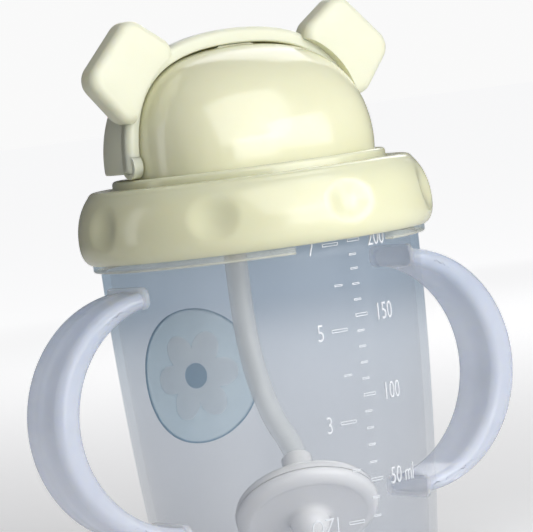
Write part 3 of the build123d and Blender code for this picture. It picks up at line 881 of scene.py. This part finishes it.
# ---------------------------------------------------------------- straw and mouthpiece
STRAW_Y = 10.0
FOLD = math.radians(62)
STRAW_PIVOT = Vector((0, STRAW_Y, 89.8))
MOUTH_R, MOUTH_LONG = 3.6, 22.0
MOUTH_TAPER = 0.5
LIP_AT, LIP_TALL = 21.2, 0.45
FOLD_BULGE = 0.55
TUBE_PIVOT_Z = 75.0
TUBE_R, TUBE_BORE_R = 2.45, 1.55
WEIGHT_CENTRE = Vector((-2.8, -10.0, 17.2))
WEIGHT_AXIS = Vector((0.281, 0.582, 0.766)).normalized()
TUBE_ROUTE = [Vector((0, STRAW_Y, TUBE_PIVOT_Z)), Vector((0, STRAW_Y, 51.0)),
              Vector((0.16, 4.5, 36.5)), WEIGHT_CENTRE + WEIGHT_AXIS * 16.0,
              WEIGHT_CENTRE + WEIGHT_AXIS * 9.0]


def eased_route(route, steps=14):
    """A smooth line that touches the middle of each run of the route."""
    middles = [(a + b) / 2 for a, b in zip(route, route[1:])]
    line = [route[0]]
    for before, corner, after in zip(middles, route[1:], middles[1:]):
        line += [Vector(p) for p in bezier([before, corner, after], steps)][len(line) > 1:]
    return line + [route[-1]]


def swept(line, radii):
    """Round rings along a line; radii holds one radius for each point."""
    rings = []
    side = Vector((1, 0, 0))
    for i, spot in enumerate(line):
        along = (line[min(i + 1, len(line) - 1)] - line[max(i - 1, 0)]).normalized()
        side = (side - along * side.dot(along)).normalized()
        other = along.cross(side)
        rings.append([spot + (side * math.cos(a) + other * math.sin(a)) * radii[i]
                      for a in spaced(0, 2 * math.pi, 32)[:-1]])
    return rings


def make_tube():
    """The soft tube down to the weight."""
    line = eased_route(TUBE_ROUTE)
    outer = swept(line, [TUBE_R] * len(line))
    inner = swept(line, [TUBE_BORE_R] * len(line))
    return build("straw_tube_skin", *loft(outer + inner[::-1], wrap_rings=True), TUBE)


def make_mouth():
    """The soft straw mouth, folded over, with a rounded lip and an open bore."""
    tip = Vector((0, -math.sin(FOLD), math.cos(FOLD)))
    start = STRAW_PIVOT - Vector((0, 0, 3.2))
    bend = [Vector(p) for p in bezier([start, STRAW_PIVOT, STRAW_PIVOT + tip * 3.6], 14)]
    stem = [STRAW_PIVOT + tip * d for d in spaced(4.4, MOUTH_LONG, 22)]
    line = bend + stem
    radii = []
    for spot in line:
        run = (spot - STRAW_PIVOT).length
        lip = LIP_TALL * math.exp(-((run - LIP_AT) / 0.7)**2)
        fold = FOLD_BULGE * math.exp(-(run / 2.2)**2)
        radii.append(MOUTH_R - MOUTH_TAPER * run / MOUTH_LONG + lip + fold)
    end = line[-1]
    rings = swept(line, radii)
    bore = swept([end + tip * 0.3, end - tip * 0.5, end - tip * 12], [1.9, 1.7, 1.5])
    round_lip = swept([end, end + tip * 0.35], [radii[-1], radii[-1] - 0.5])
    return build("straw_mouth", *loft(rings + round_lip[1:] + bore, cap=True), SILICONE)


def make_mouth_base():
    """The seat of the mouth: its flange, its waist in the lid's plate, and the pipe below."""
    outline = rounded([
        (1.7, 87.0, 0.0), (5.2, 87.8, 0.4), (5.7, 87.8, 0.3), (5.9, 87.2, 0.2), (8.0, 87.2, 0.5),
        (8.0, PLATE_TOP, 0.3), (5.6, PLATE_TOP, 0.0), (5.6, PLATE_LOW, 0.0), (6.5, PLATE_LOW, 0.3),
        (6.5, 83.2, 0.4), (4.6, 83.2, 0.4), (4.6, 75.4, 0.6), (2.6, 75.4, 0.3), (1.7, 79.0, 0.0)], 4)
    axis = Matrix.Translation((0, STRAW_Y, 0))
    return build("mouth_seat", *turned(outline, 72, axis=axis), SILICONE)


# ---------------------------------------------------------------- weight
WEIGHT_R, WEIGHT_BORE_R = 15.2, 5.9
PARTING = 0.08               # half of the gap between the two shells
BOSS_R = 4.2


def weight_axis():
    """The matrix that puts the weight on its leaning axis."""
    turn = WEIGHT_AXIS.to_track_quat("Z", "Y").to_matrix().to_4x4()
    return Matrix.Translation(WEIGHT_CENTRE) @ turn


def make_weight_upper():
    """The upper shell, with the socket that the tube goes into."""
    outline = bezier([(WEIGHT_R, PARTING), (WEIGHT_R, 2.3), (12.9, 2.9)], 10)
    outline += bezier([(12.9, 2.9), (9.0, 5.5), (5.4, 6.1)], 12)[1:]
    outline += bezier([(5.4, 6.1), (3.3, 6.4), (3.3, 7.8)], 8)[1:]
    outline += rounded([(3.3, 8.0, 0), (3.3, 13.0, 0.8), (2.5, 13.0, 0.3), (2.5, 9.0, 0)], 6)
    outline += [(1.3, 9.0), (1.3, 3.4), (WEIGHT_BORE_R, 3.4), (WEIGHT_BORE_R, PARTING)]
    return build("weight_top", *turned(outline, 120, axis=weight_axis()), WHITE, 45)


def make_weight_lower():
    """The lower shell, with a round boss under its middle."""
    outline = [(WEIGHT_BORE_R, -PARTING), (WEIGHT_R - 0.1, -PARTING)]
    outline += bezier([(15.15, -0.15), (WEIGHT_R, -2.1), (12.9, -2.5)], 10)
    outline += bezier([(12.4, -2.5), (11.9, -2.3), (10.5, -2.15), (5.6, -2.2)], 10)
    outline += bezier([(5.6, -2.2), (4.3, -2.25), (BOSS_R, -3.6)], 8)[1:]
    outline += [(BOSS_R * math.cos(a), -3.6 - BOSS_R * math.sin(a))
                for a in spaced(0, math.pi / 2, 12)][1:]
    outline += [(0.0, -1.2), (WEIGHT_BORE_R, -1.2)]
    return build("weight_foot", *turned(outline, 120, axis=weight_axis()), WHITE, 45)


# ---------------------------------------------------------------- put together
def place(piece, body, slot, *nodes):
    """Ride on a body and stand for CAD nodes.  slot is not used."""
    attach(piece, body)
    if nodes:
        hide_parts(*nodes)
    return piece


place(make_bottle(), "cup", "clear_pp", "bottle")
place(make_ledge(), "cup", "clear_pp")
place(make_scale(), "cup", "clear_pp")
badge = make_badge()
place(badge[0], "cup", "badge_blue", "front_badge")
for extra in badge[1:]:
    place(extra, "cup", "badge_blue")
for side, word in ((-1, "left"), (1, "right")):
    loop, pads = make_handle(side, "handle_loop_" + word)
    place(loop, "cup", "clear_pp_handle", "handle_" + word)
    place(pads, "cup", "clear_pp_handle")
place(make_collar(), "collar", "cream_collar", "screw_collar")
place(make_lid_ring(), "lid", "cream_collar", "lid_base")
place(make_dome(), "lid", "cream_gloss", "rear_dome")
place(make_hood(), "hood", "cream_satin", "hood")
place(make_ear(-1, "ear_pillow_left"), "hood", "cream_satin", "ear_left")
place(make_ear(1, "ear_pillow_right"), "hood", "cream_satin", "ear_right")
place(make_mouth_base(), "lid", "silicone", "mouthpiece_base")
place(make_weight_upper(), "straw", "white_pp", "weight_upper_shell")
place(make_weight_lower(), "straw", "white_pp", "weight_lower_shell")

mouth = make_mouth()
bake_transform(mouth)
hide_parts("mouthpiece_stem")

tube = make_tube()
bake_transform(tube)
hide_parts("straw_tube")

for node, finish in (("lid_gasket", SILICONE), ("air_valve", SILICONE),
                     ("straw_connector", WHITE), ("weight_ring", STEEL)):
    for material_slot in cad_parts[node].material_slots:
        material_slot.material = finish


# ---------------------------------------------------------------- floor, light and camera
WHITE_VIEW = (1.0, 1.0, 1.0)
SHADE_THROUGH_WALLS = (0.23, 0.325, 0.415)    # painted shade: the darker, bluish setting that the photo's clear parts show, for rays through the clear walls
FLOOR_RINGS = (1.0, 300.0, 1000.0, 4000.0, 12000.0)      # radii in millimetres
GLOW_NEAR, GLOW_FAR = 0.10, 0.84     # the floor's own glow near the cup and far from it
GLOW_FROM, GLOW_TO = 0.12, 1.1       # metres from the middle
WORLD_LIGHT = 0.11
WORLD_SEEN = 0.95
LIGHT_AIM = Vector((0, 0, 0.07))
LIGHTS = (                           # azimuth and elevation, distance, width, height, watts
    ("key", 1.0, 38.0, 0.65, 0.7, 0.65, 3.2),
    ("side", 33.0, 13.0, 0.8, 0.4, 0.4, 1.5),
    ("fill", 4.0, 3.0, 0.85, 0.5, 0.4, 2.1),
    ("edge", -118.0, 14.0, 0.8, 0.15, 0.6, 0.45),
    ("back", 138.0, 36.0, 0.8, 0.5, 0.6, 1.8),
)


def direction(azimuth, elevation):
    """The way to an azimuth from -Y towards +X and an elevation, both in radians."""
    level = math.cos(elevation)
    return Vector((math.sin(azimuth) * level, -math.cos(azimuth) * level, math.sin(elevation)))


def through_walls(nodes, links):
    """1 for a ray that has passed a see-through wall, 0 for one that hasn't."""
    passed = nodes.new("ShaderNodeMath")
    passed.operation = "MINIMUM"
    passed.inputs[1].default_value = 1.0
    links.new(nodes.new("ShaderNodeLightPath").outputs["Transparent Depth"], passed.inputs[0])
    return passed.outputs["Value"]


def make_floor():
    """A white floor out to the horizon, which glows for the camera alone."""
    rings = [[(x, y, 0.0) for x, y in circle(radius, 64)] for radius in FLOOR_RINGS]
    finish = moulded("floor", (0.90, 0.90, 0.905), (0.89, 0.89, 0.895), 0.6, 0.0)
    shader = finish.node_tree.nodes["Principled BSDF"]
    nodes, links = finish.node_tree.nodes, finish.node_tree.links
    away = nodes.new("ShaderNodeVectorMath")
    away.operation = "LENGTH"
    links.new(nodes.new("ShaderNodeTexCoord").outputs["Object"], away.inputs[0])
    glow = ranged(nodes, links, away.outputs["Value"], GLOW_NEAR, GLOW_FAR, GLOW_FROM, GLOW_TO)
    seen = nodes.new("ShaderNodeMath")
    seen.operation = "MULTIPLY"
    links.new(glow, seen.inputs[0])
    links.new(nodes.new("ShaderNodeLightPath").outputs["Is Camera Ray"], seen.inputs[1])
    links.new(seen.outputs["Value"], shader.inputs["Emission Strength"])
    # painted shade: the floor glows darker and bluish where seen through the clear walls
    tint = mixed(nodes, links, through_walls(nodes, links), WHITE_VIEW, SHADE_THROUGH_WALLS)
    links.new(tint, shader.inputs["Emission Color"])
    build("floor", *loft(rings), finish)


def softbox(name, azimuth, elevation, distance, width, height, power):
    """An area light aimed at the middle of the cup."""
    light = bpy.data.lights.new(name, "AREA")
    light.shape = "RECTANGLE"
    light.size = width
    light.size_y = height
    light.energy = power
    item = bpy.data.objects.new(name, light)
    back = direction(math.radians(azimuth), math.radians(elevation))
    item.location = LIGHT_AIM + back * distance
    item.rotation_euler = back.to_track_quat("Z", "Y").to_euler()
    bpy.context.scene.collection.objects.link(item)


def make_world():
    """White to look at, painted darker and bluish as shade through the clear walls, and dimmer as a
    light.
    """
    world = bpy.data.worlds.new("studio")
    bpy.context.scene.world = world
    world.use_nodes = True
    nodes = world.node_tree.nodes
    links = world.node_tree.links
    nodes["Background"].inputs["Color"].default_value = (0.93, 0.94, 1.0, 1)
    nodes["Background"].inputs["Strength"].default_value = WORLD_LIGHT
    seen = nodes.new("ShaderNodeBackground")
    seen.inputs["Strength"].default_value = WORLD_SEEN
    # painted shade: the backdrop turns darker and bluish where seen through the clear walls
    tint = mixed(nodes, links, through_walls(nodes, links), WHITE_VIEW, SHADE_THROUGH_WALLS)
    links.new(tint, seen.inputs["Color"])
    mix = nodes.new("ShaderNodeMixShader")
    links.new(nodes.new("ShaderNodeLightPath").outputs["Is Camera Ray"], mix.inputs["Fac"])
    links.new(nodes["Background"].outputs["Background"], mix.inputs[1])
    links.new(seen.outputs["Background"], mix.inputs[2])
    links.new(mix.outputs["Shader"], nodes["World Output"].inputs["Surface"])


CAMERA_AZIMUTH = math.radians(-32.0)
CAMERA_ELEVATION = math.radians(3.51)
CAMERA_ROLL = math.radians(7.45)
CAMERA_DISTANCE = 0.746
CAMERA_LENS = 238.5
CAMERA_TARGET = Vector((0, 0, 0.06))
TARGET_BELOW_MIDDLE = math.radians(0.632)


def make_camera():
    """Level view turned by the roll, aimed a little above the target."""
    back = direction(CAMERA_AZIMUTH, CAMERA_ELEVATION)
    right = Vector((math.cos(CAMERA_AZIMUTH), math.sin(CAMERA_AZIMUTH), 0))
    up = back.cross(right)
    across = right * math.cos(CAMERA_ROLL) - up * math.sin(CAMERA_ROLL)
    upwards = right * math.sin(CAMERA_ROLL) + up * math.cos(CAMERA_ROLL)
    turn = Matrix((across, upwards, back)).transposed()
    turn = turn @ Matrix.Rotation(TARGET_BELOW_MIDDLE, 3, "X")
    camera = bpy.data.objects.new("camera", bpy.data.cameras.new("camera"))
    camera.data.lens = CAMERA_LENS
    camera.data.sensor_width = 36.0
    camera.data.clip_start = 0.01
    camera.matrix_world = turn.to_4x4()
    camera.location = CAMERA_TARGET + back * CAMERA_DISTANCE
    bpy.context.scene.collection.objects.link(camera)
    bpy.context.scene.camera = camera


make_floor()
make_world()
for light_values in LIGHTS:
    softbox(*light_values)
bpy.context.scene.view_settings.view_transform = "Standard"
make_camera()
